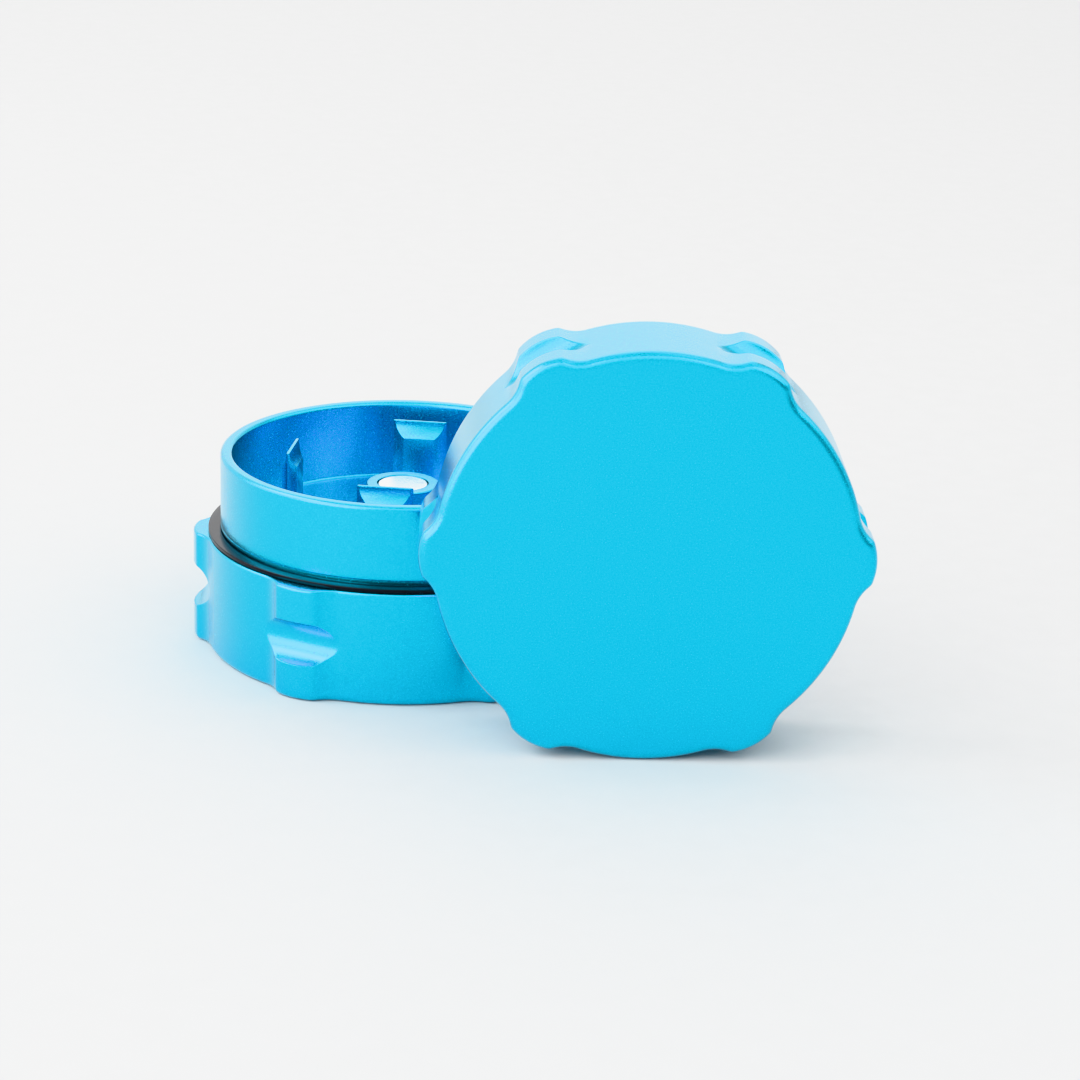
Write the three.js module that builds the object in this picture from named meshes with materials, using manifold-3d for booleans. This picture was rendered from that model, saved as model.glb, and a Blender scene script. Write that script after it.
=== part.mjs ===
// Twist pill crusher in two machined halves: a base with a toothed cup, and a lid that turns on it.
// Units are millimetres. The origin is the centre of the base's underside, and +Z is up.
// The lid stands on its edge beside the base, with its blank face towards -Y and its mouth towards +Y.

import * as THREE from 'three';
import { mergeVertices } from 'three/addons/utils/BufferGeometryUtils.js';
import Module from 'manifold-3d';

const wasm = await Module();
wasm.setup();

const DEG = Math.PI / 180;
const MERGE = 1e-3; // vertices closer than this are one vertex

// Grip outline, the same on both halves: a round body with six lobes and hollow flanks between.
const LOBES = 6;
const LOBE_REACH = 27;
const BODY_R = 25.3;
const CROWN_R = 7.5;
const FLANK_R = 5;
const FLANK_END = 12.8 * DEG; // from a lobe's middle to where its flank meets the round body

// Scallop: a half-round finger notch across the middle of every lobe.
const SCALLOP_R = 2.9;
const SCALLOP_FLOOR = 24.7; // from the axis to the floor of the scallop
const SCALLOP_LENGTH = 24;

// Base.
const SHOULDER_Z = 14.7;
const BASE_EDGE = 0.3;
const BASE_SCALLOP_Z = 7.5;
const BASE_LOBE_PHASE = 1 * DEG;
const CUP_R = 23.5;
const CUP_BORE_R = 21.95;
const CUP_FLOOR_Z = 15.1;
const RIM_Z = 25.4;
const RIM_EDGE = 0.5;
const UNDERCUT_R = 22.9; // groove at the root of the cup wall, which holds the friction ring
const UNDERCUT_TOP_Z = 15.45;
const ROOT_Z = 14; // the cup runs down into the body to here

// Friction ring, snapped over the undercut and lying on the shoulder.
const RING_BORE_R = 23.05;
const RING_R = 25.1;
const RING_GAP = 0.1;
const RING_THICK = 0.5;

// Centre bosses and their magnets.
const BOSS_R = 4.7;
const BOSS_EDGE = 0.2;
const BASE_BOSS_Z = 21.1;
const POCKET_R = 3.35;
const POCKET_DEPTH = 2.1;
const MAGNET_R = 3.2;
const MAGNET_THICK = 1.9;
const MAGNET_SUNK = 0.1;
const MAGNET_EDGE = 0.15;

// Teeth: long hexagons in plan, with hollow cheeks that leave a sharp ridge.
const TOOTH_COUNT = 4;
const TOOTH_TIP = 3.6; // half of the ridge
const TOOTH_FLAT = 2.05; // half of each flat face
const TOOTH_HALF_THICK = 1;
const RIDGE_LAND = 0.06;
const CHEEK_R = 3.4;
const BASE_TOOTH_RING = 14.5;
const BASE_TOOTH_TOP_Z = 25.1;
const BASE_TOOTH_PHASE = -8 * DEG;
const LID_OUTER_RING = 18.6;
const LID_INNER_RING = 9.2;
const LID_OUTER_PHASE = 45 * DEG;

// Lid, in its own frame: the mouth is at z = 0 and the blank face is at z = LID_HEIGHT.
const LID_HEIGHT = 14.2;
const LID_EDGE = 1;
const LID_BORE_R = 23.9;
const LID_CEILING_Z = 11.2;
const LID_BOSS_Z = 6.2;
const LID_TOOTH_TIP_Z = 0.9;
const LID_SCALLOP_Z = 6.9;
const ROOTING = 0.3; // how far bosses and teeth run into the plate that carries them

// Where the lid stands: its mouth's centre, with the round body between two lobes on the ground.
const LID_X = 29.4;
const LID_MOUTH_Y = -27.2;

const ROUND = 72; // segments of the large circles
const SMALL_ROUND = 36; // segments of bosses, magnets and cutters

// A closed three.js geometry as a solid.
function solid(geometry) {
  geometry.deleteAttribute('normal');
  geometry.deleteAttribute('uv');
  const merged = mergeVertices(geometry, MERGE);
  const corners = merged.index.array;
  const triVerts = [];
  for (let i = 0; i < corners.length; i += 3) {
    const [a, b, c] = corners.slice(i, i + 3);
    if (a !== b && b !== c && c !== a) triVerts.push(a, b, c);
  }
  const vertProperties = new Float32Array(merged.attributes.position.array);
  const shell = new wasm.Mesh({ numProp: 3, vertProperties, triVerts: new Uint32Array(triVerts) });
  return new wasm.Manifold(shell);
}

// A solid as a named mesh.
function mesh(name, body, material) {
  const { vertProperties, triVerts } = body.getMesh();
  const geometry = new THREE.BufferGeometry();
  geometry.setAttribute('position', new THREE.BufferAttribute(vertProperties, 3));
  geometry.setIndex(new THREE.BufferAttribute(triVerts, 1));
  geometry.computeVertexNormals();
  const part = new THREE.Mesh(geometry, material);
  part.name = name;
  return part;
}

// A solid of revolution about Z, from [radius, z] pairs that run up the outside from the axis.
function turned(profile, segments) {
  const points = profile.map(([r, z]) => new THREE.Vector2(r, z));
  const lathe = new THREE.LatheGeometry(points, segments);
  return solid(lathe.rotateX(90 * DEG));
}

// A round cutter lying along Y, at x and z.
function cutterAlongY(radius, length, x, z) {
  const cylinder = new THREE.CylinderGeometry(radius, radius, length, SMALL_ROUND);
  return solid(cylinder.translate(x, 0, z));
}

// Points along an arc, without its last one.
function arc(x, y, radius, from, to, steps) {
  const points = [];
  for (let i = 0; i < steps; i += 1) {
    const angle = from + ((to - from) * i) / steps;
    points.push(new THREE.Vector2(x + radius * Math.cos(angle), y + radius * Math.sin(angle)));
  }
  return points;
}

// One sixth of the grip outline, with its lobe on +X.
function lobeOutline() {
  const crownX = LOBE_REACH - CROWN_R;
  const flankX = (BODY_R + FLANK_R) * Math.cos(FLANK_END);
  const flankY = (BODY_R + FLANK_R) * Math.sin(FLANK_END);

  // The crown and the flank are two circles, which cross at the corner of the lobe.
  const apart = Math.hypot(flankX - crownX, flankY);
  const along = (CROWN_R ** 2 - FLANK_R ** 2 + apart ** 2) / (2 * apart);
  const aside = Math.sqrt(CROWN_R ** 2 - along ** 2);
  const ex = (flankX - crownX) / apart;
  const ey = flankY / apart;
  const cornerX = crownX + along * ex + aside * ey;
  const cornerY = along * ey - aside * ex;

  const crown = Math.atan2(cornerY, cornerX - crownX);
  const flankTop = Math.PI + Math.atan2(flankY - cornerY, flankX - cornerX);
  const flankFoot = Math.PI + FLANK_END;
  return [
    ...arc(flankX, -flankY, FLANK_R, -flankFoot, -flankTop, 3),
    ...arc(crownX, 0, CROWN_R, -crown, crown, 4),
    ...arc(flankX, flankY, FLANK_R, flankTop, flankFoot, 3),
    ...arc(0, 0, BODY_R, FLANK_END, (2 * Math.PI) / LOBES - FLANK_END, 6),
  ];
}

// The lobed puck that both halves are cut from, standing on z = 0.
function puck(height, edge, scallopZ) {
  const sixth = lobeOutline();
  const outline = [];
  for (let k = 0; k < LOBES; k += 1) {
    const turn = (2 * Math.PI * k) / LOBES;
    for (const point of sixth) {
      outline.push(point.clone().rotateAround(new THREE.Vector2(0, 0), turn));
    }
  }
  const options = {
    depth: height - 2 * edge,
    bevelThickness: edge,
    bevelSize: edge,
    bevelOffset: -edge,
    bevelSegments: 1,
  };
  const block = new THREE.ExtrudeGeometry(new THREE.Shape(outline), options);
  let body = solid(block.translate(0, 0, edge));
  const scallop = cutterAlongY(SCALLOP_R, SCALLOP_LENGTH, SCALLOP_FLOOR + SCALLOP_R, scallopZ);
  for (let k = 0; k < LOBES; k += 1) {
    body = body.subtract(scallop.rotate([0, 0, (360 * k) / LOBES]));
  }
  return body;
}

// One tooth on +X at the given ring, standing on z = 0 with its ridge along Y.
function tooth(height, ring) {
  const plan = new THREE.Shape([
    new THREE.Vector2(0, -TOOTH_TIP),
    new THREE.Vector2(TOOTH_HALF_THICK, -TOOTH_FLAT),
    new THREE.Vector2(TOOTH_HALF_THICK, TOOTH_FLAT),
    new THREE.Vector2(0, TOOTH_TIP),
    new THREE.Vector2(-TOOTH_HALF_THICK, TOOTH_FLAT),
    new THREE.Vector2(-TOOTH_HALF_THICK, -TOOTH_FLAT),
  ]);
  let body = solid(new THREE.ExtrudeGeometry(plan, { depth: height, bevelEnabled: false }));
  for (const side of [-1, 1]) {
    const cheekX = side * (CHEEK_R + RIDGE_LAND);
    body = body.subtract(cutterAlongY(CHEEK_R, 4 * TOOTH_TIP, cheekX, height));
  }
  return body.translate([ring, 0, 0]);
}

// Adds a ring of teeth, lifted or hung by `place`, to a body.
function withTeeth(body, height, ring, phase, place) {
  let result = body;
  for (let k = 0; k < TOOTH_COUNT; k += 1) {
    const angle = phase / DEG + (360 * k) / TOOTH_COUNT;
    result = result.add(place(tooth(height, ring)).rotate([0, 0, angle]));
  }
  return result;
}

// A boss from z = 0 up to its top, with the magnet's pocket in the top.
function boss(top) {
  return turned([
    [0, 0],
    [BOSS_R, 0],
    [BOSS_R, top - BOSS_EDGE],
    [BOSS_R - BOSS_EDGE, top],
    [POCKET_R, top],
    [POCKET_R, top - POCKET_DEPTH],
    [0, top - POCKET_DEPTH],
  ], SMALL_ROUND);
}

// A disc magnet whose upper face is at z = top.
function magnet(top) {
  const bottom = top - MAGNET_THICK;
  return turned([
    [0, bottom],
    [MAGNET_R - MAGNET_EDGE, bottom],
    [MAGNET_R, bottom + MAGNET_EDGE],
    [MAGNET_R, top - MAGNET_EDGE],
    [MAGNET_R - MAGNET_EDGE, top],
    [0, top],
  ], SMALL_ROUND);
}

// The cup with its rooted foot, the undercut for the ring and the rounded rim.
function cup() {
  return turned([
    [0, ROOT_Z],
    [UNDERCUT_R, ROOT_Z],
    [UNDERCUT_R, UNDERCUT_TOP_Z],
    [CUP_R, UNDERCUT_TOP_Z],
    [CUP_R, RIM_Z - RIM_EDGE],
    [CUP_R - RIM_EDGE, RIM_Z],
    [CUP_BORE_R + RIM_EDGE, RIM_Z],
    [CUP_BORE_R, RIM_Z - RIM_EDGE],
    [CUP_BORE_R, CUP_FLOOR_Z],
    [0, CUP_FLOOR_Z],
  ], ROUND);
}

function baseBody() {
  const foot = CUP_FLOOR_Z - ROOTING;
  const onFloor = (piece) => piece.translate([0, 0, foot]);
  let body = puck(SHOULDER_Z, BASE_EDGE, BASE_SCALLOP_Z).rotate([0, 0, BASE_LOBE_PHASE / DEG]);
  body = body.add(cup()).add(onFloor(boss(BASE_BOSS_Z - foot)));
  return withTeeth(body, BASE_TOOTH_TOP_Z - foot, BASE_TOOTH_RING, BASE_TOOTH_PHASE, onFloor);
}

function frictionRing() {
  const bottom = SHOULDER_Z + RING_GAP;
  const top = bottom + RING_THICK;
  return turned([
    [RING_BORE_R, bottom],
    [RING_R, bottom],
    [RING_R, top],
    [RING_BORE_R, top],
    [RING_BORE_R, bottom],
  ], ROUND);
}

function lidBody() {
  const root = LID_CEILING_Z + ROOTING;
  const hung = (piece) => piece.rotate([180, 0, 0]).translate([0, 0, root]);
  const bore = turned([
    [0, -1],
    [LID_BORE_R, -1],
    [LID_BORE_R, LID_CEILING_Z],
    [0, LID_CEILING_Z],
  ], ROUND);
  const toothLength = root - LID_TOOTH_TIP_Z;
  let body = puck(LID_HEIGHT, LID_EDGE, LID_SCALLOP_Z).subtract(bore);
  body = body.add(hung(boss(root - LID_BOSS_Z)));
  body = withTeeth(body, toothLength, LID_OUTER_RING, LID_OUTER_PHASE, hung);
  return withTeeth(body, toothLength, LID_INNER_RING, 0, hung);
}

const anodised = () => new THREE.MeshStandardMaterial({ color: 0x12b4ea, roughness: 0.42, metalness: 0.7 });
const nickel = () => new THREE.MeshStandardMaterial({ color: 0xe6e2e0, roughness: 0.25, metalness: 1 });
const nylon = new THREE.MeshStandardMaterial({ color: 0x0c1018, roughness: 0.4, metalness: 0 });

const base = new THREE.Group();
base.add(mesh('base_body', baseBody(), anodised()));
base.add(mesh('base_magnet', magnet(BASE_BOSS_Z - MAGNET_SUNK), nickel()));
base.add(mesh('friction_ring', frictionRing(), nylon));

const lid = new THREE.Group();
lid.add(mesh('lid_body', lidBody(), anodised()));
lid.add(mesh('lid_magnet', magnet(LID_BOSS_Z + MAGNET_SUNK + MAGNET_THICK), nickel()));
lid.rotation.x = 90 * DEG;
lid.position.set(LID_X, LID_MOUTH_Y, BODY_R);

const crusher = new THREE.Group();
crusher.add(base, lid);

export default crusher;
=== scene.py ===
import math

import bpy
import numpy as np
from mathutils import Matrix, Vector


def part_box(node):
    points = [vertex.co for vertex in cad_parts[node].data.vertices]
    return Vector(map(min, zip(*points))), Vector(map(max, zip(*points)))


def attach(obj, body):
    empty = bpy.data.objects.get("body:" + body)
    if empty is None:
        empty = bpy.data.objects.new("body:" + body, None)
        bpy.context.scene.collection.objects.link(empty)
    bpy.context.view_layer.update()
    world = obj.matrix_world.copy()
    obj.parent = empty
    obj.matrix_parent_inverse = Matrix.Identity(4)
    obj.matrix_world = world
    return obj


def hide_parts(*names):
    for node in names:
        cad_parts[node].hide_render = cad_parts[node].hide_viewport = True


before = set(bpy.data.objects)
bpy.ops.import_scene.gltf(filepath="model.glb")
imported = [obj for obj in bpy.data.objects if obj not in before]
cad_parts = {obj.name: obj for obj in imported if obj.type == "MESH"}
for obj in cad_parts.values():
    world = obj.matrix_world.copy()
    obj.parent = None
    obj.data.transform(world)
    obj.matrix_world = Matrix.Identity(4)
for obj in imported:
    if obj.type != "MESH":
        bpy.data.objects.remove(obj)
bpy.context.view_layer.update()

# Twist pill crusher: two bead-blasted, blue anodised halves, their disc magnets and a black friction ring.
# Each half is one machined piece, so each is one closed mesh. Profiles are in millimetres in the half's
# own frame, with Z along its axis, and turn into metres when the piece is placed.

MM = 0.001
BASE_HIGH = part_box("base_body")[1] / MM
LID_LOW, LID_HIGH = (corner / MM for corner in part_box("lid_body"))
RING_LOW, RING_HIGH = (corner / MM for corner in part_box("friction_ring"))
MAGNET_LOW, MAGNET_HIGH = (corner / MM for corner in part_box("base_magnet"))

# Grip outline, the same on both halves: a round body with six lobes and hollow flanks between.
LOBES = 6
LOBE_REACH = (LID_HIGH.x - LID_LOW.x) / 2
BODY_R = (LID_HIGH.z - LID_LOW.z) / 2
CROWN_R = 7.5
FLANK_R = 5.0
FLANK_END = math.radians(12.8)  # from a lobe's middle to where its flank meets the round body
CORNER_SOFTNESS = 0.22  # over which crown and flank blend at the corner of a lobe
CORNER_END = 0.75 * FLANK_END  # beyond this the flank stands alone

# Scallop: a half-round finger notch across the middle of every lobe.
SCALLOP_R = 2.9
SCALLOP_FLOOR = 24.7
SCALLOP_SOFTNESS = 0.12

# Base.
SHOULDER_Z = 14.7
FOOT_EDGE = 0.8
SHOULDER_EDGE = 0.3
BASE_SCALLOP_Z = 7.5
BASE_LOBE_PHASE = math.radians(1)
CUP_R = 23.5
CUP_BORE_R = 21.95
CUP_FLOOR_Z = 15.1
RIM_Z = BASE_HIGH.z
RIM_EDGE = 0.5
UNDERCUT_R = 22.9
UNDERCUT_TOP_Z = 15.45
LEDGE_EDGE = 0.08
SCRIBE_Z = 15.88  # fine line cut round the root of the cup
SCRIBE_HALF = 0.07
SCRIBE_DEPTH = 0.12
CORNER_FILLET = 0.3  # inside corners, left by the tool's nose

# Centre bosses.
BOSS_R = 4.7
BOSS_EDGE = 0.2
BASE_BOSS_Z = 21.1
POCKET_R = 3.35
POCKET_DEPTH = 2.1
POCKET_EDGE = 0.06

# Teeth: long hexagons in plan, with hollow cheeks that leave a sharp ridge.
TOOTH_COUNT = 4
TOOTH_BEVEL_ANGLE = math.radians(20)  # only edges sharper than this are softened
TOOTH_TIP = 3.6
TOOTH_FLAT = 2.05
TOOTH_HALF_THICK = 1.0
RIDGE_LAND = 0.18
CHEEK_R = 3.4
TOOTH_SOFTNESS = 0.045
BASE_TOOTH_RING = 14.5
BASE_TOOTH_TOP_Z = 25.1
BASE_TOOTH_PHASE = math.radians(-8)
LID_OUTER_RING = 18.6
LID_INNER_RING = 9.2
LID_OUTER_PHASE = math.radians(45)
ROOTING = 0.3

# Lid, in its own frame: the mouth is at z = 0 and the blank face is at z = LID_HEIGHT.
LID_HEIGHT = LID_HIGH.y - LID_LOW.y
LID_EDGE = 1.0
LID_MOUTH_EDGE = 0.3
LID_BORE_R = 23.9
LID_CEILING_Z = 11.2
LID_BOSS_Z = 6.2
LID_TOOTH_TIP_Z = 0.9
LID_SCALLOP_Z = 6.9
LID_CENTRE = (LID_LOW + LID_HIGH) / 2
LID_MOUTH = Vector((LID_CENTRE.x, LID_HIGH.y, LID_CENTRE.z))
LID_PLACE = Matrix.Translation(LID_MOUTH) @ Matrix.Rotation(math.pi / 2, 4, "X")

# Friction ring and magnets.
RING_R = (RING_HIGH.x - RING_LOW.x) / 2
RING_BORE_R = 23.05
RING_EDGE = 0.08
MAGNET_R = (MAGNET_HIGH.x - MAGNET_LOW.x) / 2
MAGNET_THICK = MAGNET_HIGH.z - MAGNET_LOW.z
MAGNET_EDGE = 0.16
MAGNET_SUNK = BASE_BOSS_Z - MAGNET_HIGH.z

# Mesh fineness.
LOBE_COLUMNS = 72
BODY_COLUMNS = 9  # on each side of a lobe
LOBE_MARGIN = 1.04  # how far the lobe's close columns reach past its flanks
ROUND = 256  # columns round a magnet or the friction ring
EDGE_HOLD = 0.15  # how far the last row lies inside a rounded edge, which keeps the flat face flat
EDGE_STEPS = 5
SCALLOP_ROWS = 12  # on each side of a notch's middle
SCALLOP_LIP = (1.015, 1.035, 1.07)  # rows just past its edge, as shares of its half height
SCALLOP_LEAST = 0.4  # half height that the rows still cover where the notch has run out
SMOOTH_ANGLE = math.radians(32)


# ---------------------------------------------------------------- outlines and profiles

def smooth_min(a, b, softness):
    """The smaller of a and b, with the corner between them rounded off."""
    overlap = np.clip(1 - np.abs(a - b) / softness, 0, 1)
    return np.minimum(a, b) - softness * overlap ** 2 / 4


def ray_to_circle(turn, distance, bearing, radius, side):
    """How far out the ray at angle turn meets a circle, on its far side (+1) or near side (-1)."""
    inside = radius ** 2 - (distance * np.sin(turn - bearing)) ** 2
    met = distance * np.cos(turn - bearing) + side * np.sqrt(np.maximum(inside, 0))
    return np.where(inside > 0, met, 2 * LOBE_REACH)


def grip(turn, inset=0.0):
    """Radius of the grip's outline, drawn in by inset. turn is measured from the nearest lobe's middle."""
    aside = np.abs(turn)
    crown = ray_to_circle(aside, LOBE_REACH - CROWN_R, 0, CROWN_R - inset, 1)
    flank = ray_to_circle(aside, BODY_R + FLANK_R, FLANK_END, FLANK_R + inset, -1)
    lobe = np.where(aside < CORNER_END, smooth_min(crown, flank, CORNER_SOFTNESS), flank)
    return np.where(aside < FLANK_END, lobe, BODY_R - inset)


def scallop(turn, height):
    """Radius of the notch's half-round floor at a height above its middle, and nothing beyond it."""
    depth = SCALLOP_R ** 2 - height ** 2
    floor = (SCALLOP_FLOOR + SCALLOP_R - np.sqrt(np.maximum(depth, 0))) / np.cos(turn)
    return np.where(depth > 0, floor, 2 * LOBE_REACH)


def lobe_turns():
    """Angles from each column to its lobe's middle, and the column's own angle, all the way round."""
    half = math.pi / LOBES
    near = FLANK_END * LOBE_MARGIN
    fine = np.linspace(-near, near, LOBE_COLUMNS + 1)
    coarse = np.linspace(near, 2 * half - near, 2 * BODY_COLUMNS)[1:-1]
    one = np.concatenate([fine, coarse])
    from_middle = np.where(one > half, one - 2 * half, one)
    lobe_angles = np.arange(LOBES) * 2 * half
    return np.tile(from_middle, LOBES), (one[None, :] + lobe_angles[:, None]).ravel()


TURN, ANGLE = lobe_turns()


def arc(r, z, radius, start, end, steps=EDGE_STEPS):
    """[r, z] points on an arc about (r, z), from one angle to another in degrees."""
    angles = np.radians(np.linspace(start, end, steps + 1))
    return [(r + radius * math.cos(a), z + radius * math.sin(a)) for a in angles]


def held(points, hold=0.12):
    """The same profile with a point added close to both ends of each long stretch, which keeps it flat."""
    kept = [points[0]]
    for a, b in zip(points, points[1:]):
        span = math.dist(a, b)
        if span > 4 * hold:
            share = hold / span
            kept += [tuple(np.array(a) + (np.array(b) - np.array(a)) * t) for t in (share, 1 - share)]
        kept.append(b)
    return kept


def grip_rows(height, low_edge, high_edge, scallop_z):
    """Rows of the lobed wall, from the flat face at z = 0 up to the flat face at z = height."""
    rows = []
    quarter = np.radians(np.linspace(0, 90, EDGE_STEPS + 1))
    rows.append((grip(TURN, low_edge + EDGE_HOLD), 0.0))
    for a in quarter:
        rows.append((grip(TURN, low_edge * (1 - math.sin(a))), low_edge * (1 - math.cos(a))))
    rows += wall_rows(low_edge, height - high_edge, scallop_z)
    for a in quarter[::-1]:
        rows.append((grip(TURN, high_edge * (1 - math.sin(a))), height - high_edge * (1 - math.cos(a))))
    rows.append((grip(TURN, high_edge + EDGE_HOLD), height))
    return rows


def wall_rows(low, high, scallop_z):
    """Rows between the rounded edges. They crowd along the scallop's edge and follow most of it."""
    outline = grip(TURN)
    axis = SCALLOP_FLOOR + SCALLOP_R
    edge = np.sqrt(np.maximum(SCALLOP_R ** 2 - (axis - outline * np.cos(TURN)) ** 2, 0))
    edge = np.sqrt(edge ** 2 + SCALLOP_LEAST ** 2)
    half = np.sin(np.linspace(0, math.pi / 2, SCALLOP_ROWS + 1)[1:])
    share = np.concatenate([half, SCALLOP_LIP])
    share = np.concatenate([-share[::-1], [0], share])
    last = share[-1] * edge
    heights = [low + (scallop_z - last - low) * t for t in (0.05, 0.5)]
    heights += [scallop_z + s * edge for s in share]
    heights += [scallop_z + last + (high - scallop_z - last) * t for t in (0.5, 0.95)]
    return [(smooth_min(outline, scallop(TURN, z - scallop_z), SCALLOP_SOFTNESS), z) for z in heights]


# ---------------------------------------------------------------- meshes

def make_object(name, vertices, faces, place, phase=0.0):
    """A mesh object from points in millimetres."""
    to_row = Matrix.Scale(MM, 4) @ place @ Matrix.Rotation(phase, 4, "Z")
    mesh = bpy.data.meshes.new(name)
    mesh.from_pydata([to_row @ Vector(v) for v in vertices], [], faces)
    mesh.validate()
    obj = bpy.data.objects.new(name, mesh)
    bpy.context.scene.collection.objects.link(obj)
    return obj


def skin(name, rows, angles, place, phase=0.0, closed=False):
    """A closed surface through rows of (radius, z), which ends in points on the axis or meets itself."""
    count = len(angles)
    cosines, sines = np.cos(angles), np.sin(angles)
    vertices = []
    for radius, z in rows:
        r = np.broadcast_to(radius, (count,))
        h = np.broadcast_to(z, (count,))
        vertices += list(zip(r * cosines, r * sines, h))
    faces = []
    turns = [(i, (i + 1) % count) for i in range(count)]
    pairs = [(k, k + 1) for k in range(len(rows) - 1)]
    if closed:
        pairs.append((len(rows) - 1, 0))
    for low, high in pairs:
        faces += [(low * count + i, low * count + j, high * count + j, high * count + i) for i, j in turns]
    if not closed:
        first, last = len(vertices), len(vertices) + 1
        top = (len(rows) - 1) * count
        vertices += [(0, 0, np.mean(rows[0][1])), (0, 0, np.mean(rows[-1][1]))]
        faces += [(first, j, i) for i, j in turns]
        faces += [(last, top + i, top + j) for i, j in turns]
    return make_object(name, vertices, faces, place, phase)


def tooth(length, place):
    """A tooth standing on z = 0 with its ridge along Y, its long edges a little softened."""
    depth_end = math.sqrt(CHEEK_R ** 2 - (CHEEK_R + RIDGE_LAND - TOOTH_HALF_THICK) ** 2)
    sweep = np.linspace(0, math.asin(depth_end / CHEEK_R), 13)
    levels = [(length - CHEEK_R * math.sin(a), CHEEK_R * (1 - math.cos(a)) + RIDGE_LAND) for a in sweep]
    levels.append((0.0, TOOTH_HALF_THICK))
    taper = (TOOTH_TIP - TOOTH_FLAT) / TOOTH_HALF_THICK
    vertices = []
    for z, thick in levels[::-1]:
        shoulder = TOOTH_TIP - taper * thick
        vertices += [(0, -TOOTH_TIP, z), (thick, -shoulder, z), (thick, shoulder, z)]
        vertices += [(0, TOOTH_TIP, z), (-thick, shoulder, z), (-thick, -shoulder, z)]
    sides = 6
    faces = [tuple(range(sides - 1, -1, -1))]
    for k in range(len(levels) - 1):
        ring = k * sides
        for i in range(sides):
            j = (i + 1) % sides
            faces.append((ring + i, ring + j, ring + sides + j, ring + sides + i))
    top = (len(levels) - 1) * sides
    faces.append(tuple(top + i for i in range(sides)))
    obj = make_object("tooth", vertices, faces, place)
    bevel = obj.modifiers.new("soft edges", "BEVEL")
    bevel.width = TOOTH_SOFTNESS * MM
    bevel.segments = 2
    bevel.limit_method = "ANGLE"
    bevel.angle_limit = TOOTH_BEVEL_ANGLE
    return obj


def tooth_ring(length, ring, phase, place):
    """Four teeth round the axis."""
    spots = [phase + 2 * math.pi * k / TOOTH_COUNT for k in range(TOOTH_COUNT)]
    return [
        tooth(length, place @ Matrix.Rotation(a, 4, "Z") @ Matrix.Translation((ring, 0, 0)))
        for a in spots
    ]


def apply_modifiers(obj):
    """Puts the result of an object's modifiers into its mesh."""
    seen = obj.evaluated_get(bpy.context.evaluated_depsgraph_get())
    mesh = bpy.data.meshes.new_from_object(seen)
    obj.modifiers.clear()
    obj.data = mesh


def join_solids(body, pieces):
    """Makes body and the pieces one closed solid, and removes the pieces."""
    for piece in pieces:
        apply_modifiers(piece)
        union = body.modifiers.new("union", "BOOLEAN")
        union.operation = "UNION"
        union.solver = "MANIFOLD"
        union.object = piece
    apply_modifiers(body)
    for piece in pieces:
        bpy.data.objects.remove(piece)


def smooth(obj):
    """Shades the mesh smooth, with its real edges left sharp."""
    obj.data.shade_smooth()
    obj.data.set_sharp_from_angle(angle=SMOOTH_ANGLE)


def boss_profile(foot, top):
    """From the plate up a boss's side, over its top and down to the floor of its magnet's pocket."""
    points = arc(BOSS_R + CORNER_FILLET, foot + CORNER_FILLET, CORNER_FILLET, 270, 180)
    points += arc(BOSS_R - BOSS_EDGE, top - BOSS_EDGE, BOSS_EDGE, 0, 90)
    points += arc(POCKET_R + POCKET_EDGE, top - POCKET_EDGE, POCKET_EDGE, 90, 180, 2)
    points += [(POCKET_R, top - POCKET_DEPTH)]
    points += [(POCKET_R / 2, top - POCKET_DEPTH)]
    return points


def base_half():
    """The lower half: lobed foot, undercut, cup, boss and four teeth."""
    profile = [(UNDERCUT_R, SHOULDER_Z), (UNDERCUT_R, UNDERCUT_TOP_Z)]
    profile += arc(CUP_R - LEDGE_EDGE, UNDERCUT_TOP_Z + LEDGE_EDGE, LEDGE_EDGE, -90, 0, 3)
    profile += [(CUP_R, SCRIBE_Z - SCRIBE_HALF)]
    profile += [(CUP_R - SCRIBE_DEPTH, SCRIBE_Z)]
    profile += [(CUP_R, SCRIBE_Z + SCRIBE_HALF)]
    profile += arc(CUP_R - RIM_EDGE, RIM_Z - RIM_EDGE, RIM_EDGE, 0, 90)
    profile += arc(CUP_BORE_R + RIM_EDGE, RIM_Z - RIM_EDGE, RIM_EDGE, 90, 180)
    floor = CUP_FLOOR_Z + CORNER_FILLET
    profile += arc(CUP_BORE_R - CORNER_FILLET, floor, CORNER_FILLET, 0, -90)
    profile += boss_profile(CUP_FLOOR_Z, BASE_BOSS_Z)
    rows = grip_rows(SHOULDER_Z, FOOT_EDGE, SHOULDER_EDGE, BASE_SCALLOP_Z) + held(profile)
    upright = Matrix.Identity(4)
    body = skin("base_half", rows, ANGLE, upright, BASE_LOBE_PHASE)
    foot = CUP_FLOOR_Z - ROOTING
    on_floor = Matrix.Translation((0, 0, foot))
    join_solids(body, tooth_ring(BASE_TOOTH_TOP_Z - foot, BASE_TOOTH_RING, BASE_TOOTH_PHASE, on_floor))
    return body


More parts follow.
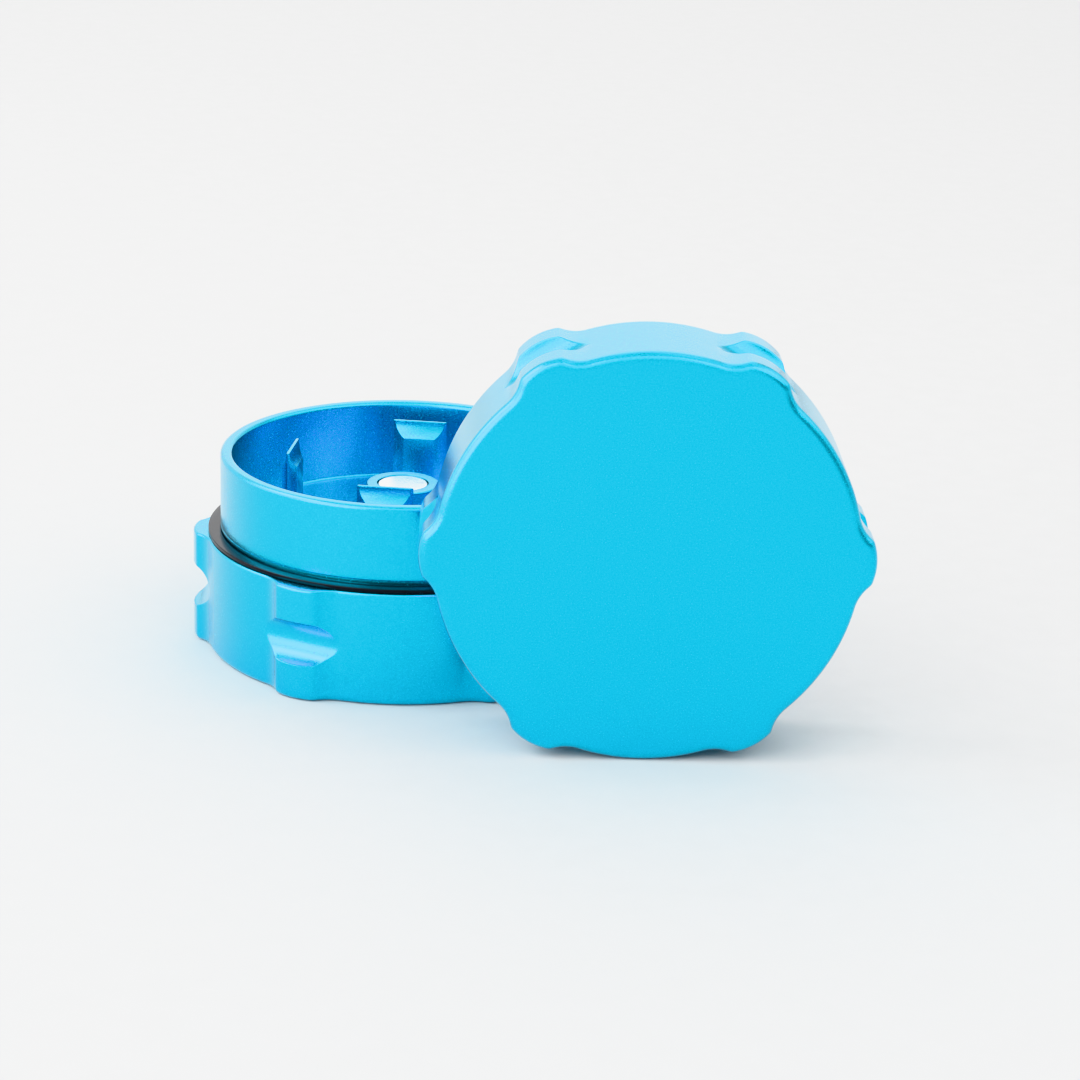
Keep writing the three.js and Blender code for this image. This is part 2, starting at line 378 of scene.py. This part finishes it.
def lid_half():
    """The upper half: lobed cap with a pocket, a boss and two rings of four teeth."""
    mirror = [(r, LID_CEILING_Z - z) for r, z in boss_profile(0, LID_CEILING_Z - LID_BOSS_Z)]
    profile = mirror[::-1]
    profile += arc(LID_BORE_R - CORNER_FILLET, LID_CEILING_Z - CORNER_FILLET, CORNER_FILLET, 90, 0)
    profile += arc(LID_BORE_R + LID_MOUTH_EDGE, LID_MOUTH_EDGE, LID_MOUTH_EDGE, 180, 270)
    outside = grip_rows(LID_HEIGHT, LID_MOUTH_EDGE, LID_EDGE, LID_SCALLOP_Z)
    body = skin("lid_half", held(profile) + outside[1:], ANGLE, LID_PLACE)
    root = LID_CEILING_Z + ROOTING
    hung = LID_PLACE @ Matrix.Translation((0, 0, root)) @ Matrix.Rotation(math.pi, 4, "X")
    length = root - LID_TOOTH_TIP_Z
    teeth = tooth_ring(length, LID_OUTER_RING, LID_OUTER_PHASE, hung)
    teeth += tooth_ring(length, LID_INNER_RING, 0.0, hung)
    join_solids(body, teeth)
    return body


def magnet(name, top, place):
    """A disc magnet with rolled edges, its upper face at z = top."""
    bottom = top - MAGNET_THICK
    profile = [(MAGNET_R / 2, bottom)]
    profile += arc(MAGNET_R - MAGNET_EDGE, bottom + MAGNET_EDGE, MAGNET_EDGE, -90, 0)
    profile += arc(MAGNET_R - MAGNET_EDGE, top - MAGNET_EDGE, MAGNET_EDGE, 0, 90)
    profile += [(MAGNET_R / 2, top)]
    return skin(name, held(profile), np.linspace(0, 2 * math.pi, ROUND, endpoint=False), place)


def friction_ring():
    """The thin flat ring that lies on the shoulder."""
    low, high = RING_LOW.z + RING_EDGE, RING_HIGH.z - RING_EDGE
    outer, inner = RING_R - RING_EDGE, RING_BORE_R + RING_EDGE
    profile = arc(outer, low, RING_EDGE, -90, 0, 3)
    profile += arc(outer, high, RING_EDGE, 0, 90, 3)
    profile += arc(inner, high, RING_EDGE, 90, 180, 3)
    profile += arc(inner, low, RING_EDGE, 180, 270, 3)
    angles = np.linspace(0, 2 * math.pi, ROUND, endpoint=False)
    return skin("black_ring", profile, angles, Matrix.Identity(4), closed=True)


# ---------------------------------------------------------------- materials

class Nodes:
    """A material's node tree, with its Principled shader ready."""

    def __init__(self, name):
        self.material = bpy.data.materials.new(name)
        self.material.use_nodes = True
        self.tree = self.material.node_tree
        self.shader = self.tree.nodes["Principled BSDF"]
        self.place = self.add("ShaderNodeTexCoord").outputs["Object"]

    def add(self, kind, **settings):
        node = self.tree.nodes.new(kind)
        for key, value in settings.items():
            if key in node.inputs:
                node.inputs[key].default_value = value
            else:
                setattr(node, key, value)
        return node

    def link(self, output, node, socket):
        self.tree.links.new(output, node.inputs[socket])

    def noise(self, size, detail=2.0, rough=0.5, place=None):
        """Noise whose grains are about size metres across."""
        node = self.add("ShaderNodeTexNoise", Scale=1 / size, Detail=detail, Roughness=rough)
        self.link(place or self.place, node, "Vector")
        return node.outputs["Fac"]

    def between(self, factor, low, high, start=0.0, end=1.0):
        """A value that runs from low to high as factor runs from start to end."""
        node = self.add("ShaderNodeMapRange")
        self.link(factor, node, "Value")
        for socket, value in (("From Min", start), ("From Max", end), ("To Min", low), ("To Max", high)):
            node.inputs[socket].default_value = value
        return node.outputs["Result"]

    def colours(self, factor, stops):
        """A colour ramp through (position, colour) stops."""
        node = self.add("ShaderNodeValToRGB")
        ramp = node.color_ramp
        while len(ramp.elements) < len(stops):
            ramp.elements.new(0.5)
        for element, (position, colour) in zip(ramp.elements, stops):
            element.position = position
            element.color = (*colour, 1)
        self.link(factor, node, "Fac")
        return node.outputs["Color"]

    def bump(self, height, distance, strength=1.0):
        """Bump of that depth in metres."""
        node = self.add("ShaderNodeBump", Distance=distance, Strength=strength)
        self.link(height, node, "Height")
        self.link(node.outputs["Normal"], self.shader, "Normal")


def anodised_aluminium():
    """Dyed blue oxide over a fine bead-blasted surface: satin, with a speckle of small dimples."""
    nodes = Nodes("anodised_aluminium")
    grain = nodes.noise(0.0002, 2, 0.7)
    dye = nodes.colours(grain, [(0.36, (0.0, 0.475, 0.72)), (0.64, (0.0, 0.595, 0.86))])
    nodes.link(dye, nodes.shader, "Base Color")
    nodes.link(nodes.between(grain, 0.17, 0.28, 0.3, 0.7), nodes.shader, "Roughness")
    nodes.bump(grain, 0.000014)
    nodes.shader.inputs["Metallic"].default_value = 1
    nodes.shader.inputs["Coat Weight"].default_value = 0.8
    nodes.shader.inputs["Coat Roughness"].default_value = 0.3
    nodes.shader.inputs["Coat IOR"].default_value = 1.4
    return nodes.material


def nickel_plate():
    """Bright nickel with the faint cloudiness of barrel plating."""
    nodes = Nodes("nickel_plate")
    cloud = nodes.noise(0.0012, 4, 0.6)
    tone = nodes.colours(cloud, [(0.3, (0.80, 0.77, 0.76)), (0.7, (0.90, 0.88, 0.87))])
    nodes.link(tone, nodes.shader, "Base Color")
    nodes.link(nodes.between(cloud, 0.2, 0.3, 0.3, 0.7), nodes.shader, "Roughness")
    nodes.bump(nodes.noise(0.0002), 0.000003)
    nodes.shader.inputs["Metallic"].default_value = 1
    return nodes.material


def black_nylon():
    """Smooth black plastic with the fine turned lines of its tool, ring after ring round the axis."""
    nodes = Nodes("black_nylon")
    flat = nodes.add("ShaderNodeVectorMath", operation="MULTIPLY")
    flat.inputs[1].default_value = (1, 1, 0)
    nodes.link(nodes.place, flat, 0)
    radius = nodes.add("ShaderNodeVectorMath", operation="LENGTH")
    nodes.link(flat.outputs["Vector"], radius, 0)
    lines = nodes.add("ShaderNodeTexNoise", noise_dimensions="1D", Scale=1.0, Detail=3.0)
    rings = nodes.add("ShaderNodeMath", operation="DIVIDE")
    nodes.link(radius.outputs["Value"], rings, 0)
    rings.inputs[1].default_value = 0.00012
    nodes.link(rings.outputs["Value"], lines, "W")
    nodes.bump(lines.outputs["Fac"], 0.000004)
    tone = nodes.colours(nodes.noise(0.0006), [(0.3, (0.002, 0.003, 0.006)), (0.7, (0.005, 0.006, 0.010))])
    nodes.link(tone, nodes.shader, "Base Color")
    nodes.link(nodes.between(lines.outputs["Fac"], 0.16, 0.26), nodes.shader, "Roughness")
    nodes.shader.inputs["Specular IOR Level"].default_value = 0.3
    return nodes.material


def pale_floor():
    """Matt white paper, with a barely visible tooth."""
    nodes = Nodes("pale_floor")
    fibre = nodes.noise(0.004, 4)
    tone = nodes.colours(fibre, [(0.3, (0.54, 0.54, 0.54)), (0.7, (0.56, 0.56, 0.56))])
    nodes.link(tone, nodes.shader, "Base Color")
    nodes.shader.inputs["Roughness"].default_value = 0.9
    nodes.shader.inputs["Specular IOR Level"].default_value = 0.1
    return nodes.material


# ---------------------------------------------------------------- assembly

def finish_piece(obj, material, body, node):
    """Gives a piece its finish and hands it to its body in place of its CAD node."""
    smooth(obj)
    obj.data.materials.clear()
    obj.data.materials.append(material)
    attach(obj, body)
    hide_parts(node)


def build_pieces():
    blue, nickel, black = anodised_aluminium(), nickel_plate(), black_nylon()
    upright = Matrix.Identity(4)
    lid_magnet_top = LID_BOSS_Z + MAGNET_SUNK + MAGNET_THICK
    finish_piece(base_half(), blue, "base", "base_body")
    finish_piece(magnet("base_disc", MAGNET_HIGH.z, upright), nickel, "base", "base_magnet")
    finish_piece(friction_ring(), black, "turning_ring", "friction_ring")
    finish_piece(lid_half(), blue, "lid", "lid_body")
    finish_piece(magnet("lid_disc", lid_magnet_top, LID_PLACE), nickel, "lid", "lid_magnet")


# ---------------------------------------------------------------- stage

VIEW_AIM = Vector((0.01795, -0.00060, 0.01377))
VIEW_AZIMUTH = math.radians(1.905)
VIEW_ELEVATION = math.radians(18.85)
VIEW_ROLL = math.radians(1.712)
VIEW_DISTANCE = 0.41518
VIEW_LENS = 106.3  # with the sensor's width, in millimetres
VIEW_SENSOR = 36
FLOOR_HALF = 4.0
TENT_MIDDLE = Vector((0.015, 0, 0.02))


def camera():
    """A long lens looking a little down on the crusher, tilted slightly clockwise."""
    level = math.cos(VIEW_ELEVATION)
    ahead = Vector((
        level * math.sin(VIEW_AZIMUTH),
        level * math.cos(VIEW_AZIMUTH),
        -math.sin(VIEW_ELEVATION),
    ))
    right = ahead.cross(Vector((0, 0, 1))).normalized()
    up = right.cross(ahead)
    turned_right = right * math.cos(VIEW_ROLL) + up * math.sin(VIEW_ROLL)
    turned_up = up * math.cos(VIEW_ROLL) - right * math.sin(VIEW_ROLL)
    lens = bpy.data.cameras.new("camera")
    lens.lens = VIEW_LENS
    lens.sensor_width = VIEW_SENSOR
    lens.clip_start = 0.01
    obj = bpy.data.objects.new("camera", lens)
    obj.matrix_world = Matrix.Translation(VIEW_AIM - ahead * VIEW_DISTANCE) @ Matrix(
        (turned_right, turned_up, -ahead)
    ).transposed().to_4x4()
    bpy.context.scene.collection.objects.link(obj)
    bpy.context.scene.camera = obj


# A tent of soft panels round the crusher. Every ring has its degrees up, its panels' width and height in
# metres, and their radiances, clockwise in steps of TENT_STEP degrees from straight behind the crusher.
TENT_STEP = 45
TENT_RADIUS = 0.9
TENT = (
    (12, (0.70, 0.42), (1.4, 0.9, 0.8, 0.3, 0.9, 4.4, 2.8, 1.2)),
    (40, (0.58, 0.52), (2.3, 0.7, 2.0, 2.6, 1.8, 3.4, 5.6, 0.9)),
    (67, (0.32, 0.40), (1.3, 1.1, 1.2, 0.8, 0.7, 0.7, 0.8, 0.8)),
    (90, (0.40, 0.40), (0.5,)),
)


def panel(bearing, elevation, size, radiance):
    """A soft light panel that faces the middle of the crusher."""
    side, up = math.radians(bearing), math.radians(elevation)
    outward = Vector((math.cos(up) * math.sin(side), math.cos(up) * math.cos(side), math.sin(up)))
    light = bpy.data.lights.new("panel", "AREA")
    light.shape = "RECTANGLE"
    light.size, light.size_y = size
    light.energy = radiance * math.pi * size[0] * size[1]
    obj = bpy.data.objects.new("panel", light)
    obj.location = TENT_MIDDLE + outward * TENT_RADIUS
    obj.rotation_euler = outward.to_track_quat("Z", "Y").to_euler()
    obj.visible_camera = False
    bpy.context.scene.collection.objects.link(obj)


def stage():
    """Pale floor, even surroundings and soft panels."""
    corners = [(-1, -1), (1, -1), (1, 1), (-1, 1)]
    mesh = bpy.data.meshes.new("floor")
    mesh.from_pydata([(x * FLOOR_HALF, y * FLOOR_HALF, 0) for x, y in corners], [], [(0, 1, 2, 3)])
    mesh.materials.append(pale_floor())
    floor = bpy.data.objects.new("floor", mesh)
    bpy.context.scene.collection.objects.link(floor)

    world = bpy.data.worlds.new("surroundings")
    world.use_nodes = True
    background = world.node_tree.nodes["Background"]
    background.inputs["Color"].default_value = (1, 1, 1, 1)
    background.inputs["Strength"].default_value = 0.15
    bpy.context.scene.world = world
    bpy.context.scene.view_settings.view_transform = "Khronos PBR Neutral"

    for elevation, size, radiances in TENT:
        for step, radiance in enumerate(radiances):
            if radiance:
                panel(TENT_STEP * step, elevation, size, radiance)


build_pieces()
camera()
stage()
